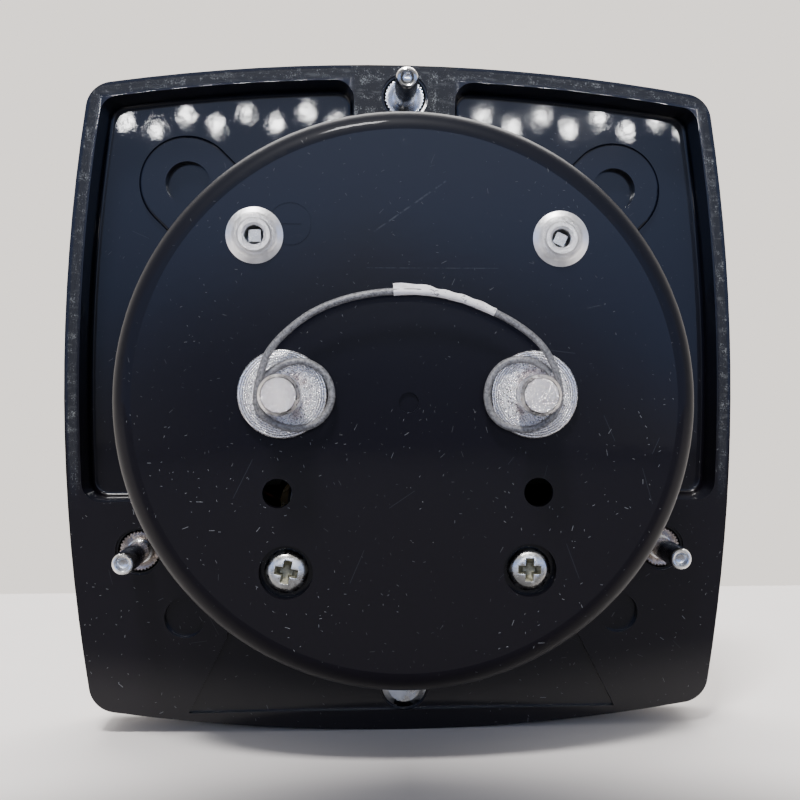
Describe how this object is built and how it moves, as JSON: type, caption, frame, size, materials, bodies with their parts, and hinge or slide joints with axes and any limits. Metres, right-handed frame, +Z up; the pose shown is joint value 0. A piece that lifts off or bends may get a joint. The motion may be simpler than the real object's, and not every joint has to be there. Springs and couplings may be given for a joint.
{
  "type": "panel galvanometer",
  "caption": "Moulded square panel galvanometer with a round rear barrel, terminal posts bridged by a looped shorting wire, mounting studs, and a pivoted coil that swings a pointer over a dial.",
  "frame": {"origin": "on the barrel's axis, in the plane of the flange's rear rim, which rests against the panel", "axes": "+Y along the barrel to the terminals, -Y towards the dial, +Z up, +X to the right seen from the dial's side"},
  "size_m": [0.0888, 0.0527, 0.0888],
  "materials": {
    "case": "gloss",
    "cover": "gloss",
    "pane": "polished",
    "mask": "matte",
    "nickel": "satin",
    "dial": "matte",
    "brass": "satin",
    "steel": "satin",
    "magnet": "satin",
    "alloy": "satin",
    "jewel": "polished",
    "bronze": "satin",
    "insulator": "matte",
    "board": "satin",
    "resistor": "satin",
    "lead": "satin",
    "wire": "satin",
    "paper": "matte",
    "copper": "gloss"
  },
  "bodies": {
    "case": {"case_barrel": "case", "case_flange": "case", "front_cover": "cover", "window_glass": "pane", "lower_mask": "mask", "cover_screw": "nickel", "dial_plate": "dial", "dial_screws": "nickel", "pointer_stops": "brass", "yoke_ring": "steel", "core_magnet": "magnet", "core_spacers": "alloy", "movement_plate": "brass", "yoke_pillars": "brass", "yoke_screws": "nickel", "front_bridge": "brass", "bridge_screws": "nickel", "front_jewel_screw": "brass", "rear_jewel_screw": "brass", "front_jewel": "jewel", "rear_jewel": "jewel", "jewel_lock_nuts": "brass", "hairspring_front": "bronze", "hairspring_rear": "bronze", "rear_spring_stud": "brass", "movement_screws": "nickel", "terminal_post_right": "alloy", "terminal_post_left": "alloy", "terminal_disc_right": "alloy", "terminal_disc_left": "alloy", "terminal_washers": "insulator", "solder_lugs": "nickel", "terminal_nuts": "nickel", "tag_board": "board", "rivet_right": "alloy", "rivet_left": "alloy", "board_pegs": "nickel", "board_tags": "nickel", "series_resistor": "resistor", "lead_terminal": "lead", "lead_rear_spring": "lead", "lead_front_bridge": "lead", "mounting_studs": "nickel", "shorting_wire": "wire", "wire_tag": "paper"},
    "coil": {"coil_former": "alloy", "coil_winding": "copper", "pivot_front": "steel", "pivot_rear": "steel", "pointer": "alloy", "balance_weights": "brass"},
    "zero_screw": {"zero_adjust_screw": "insulator", "zero_screw_clip": "nickel"},
    "zero_arm": {"zero_adjuster_arm": "brass"}
  },
  "joints": [
    {"name": "pointer_swing", "type": "hinge", "parent": "case", "child": "coil", "pos_m": [0, -0.0054, -0.014], "axis": [0, 1, 0], "range_deg": [-45, 45], "stiffness_Nm_per_rad": 0.00002, "deforming": ["hairspring_front", "hairspring_rear"]},
    {"name": "zero_adjust_turn", "type": "hinge", "parent": "case", "child": "zero_screw", "pos_m": [0, -0.0165, -0.0292], "axis": [0, 1, 0], "range_deg": [-40, 40]},
    {"name": "zero_arm_turn", "type": "hinge", "parent": "case", "child": "zero_arm", "pos_m": [0, -0.0073, -0.014], "axis": [0, 1, 0], "range_deg": [-3.5, 3.5]}
  ],
  "couplings": [
    {"joint": "zero_arm_turn", "follows": "zero_adjust_turn", "ratio": -0.0815}
  ]
}
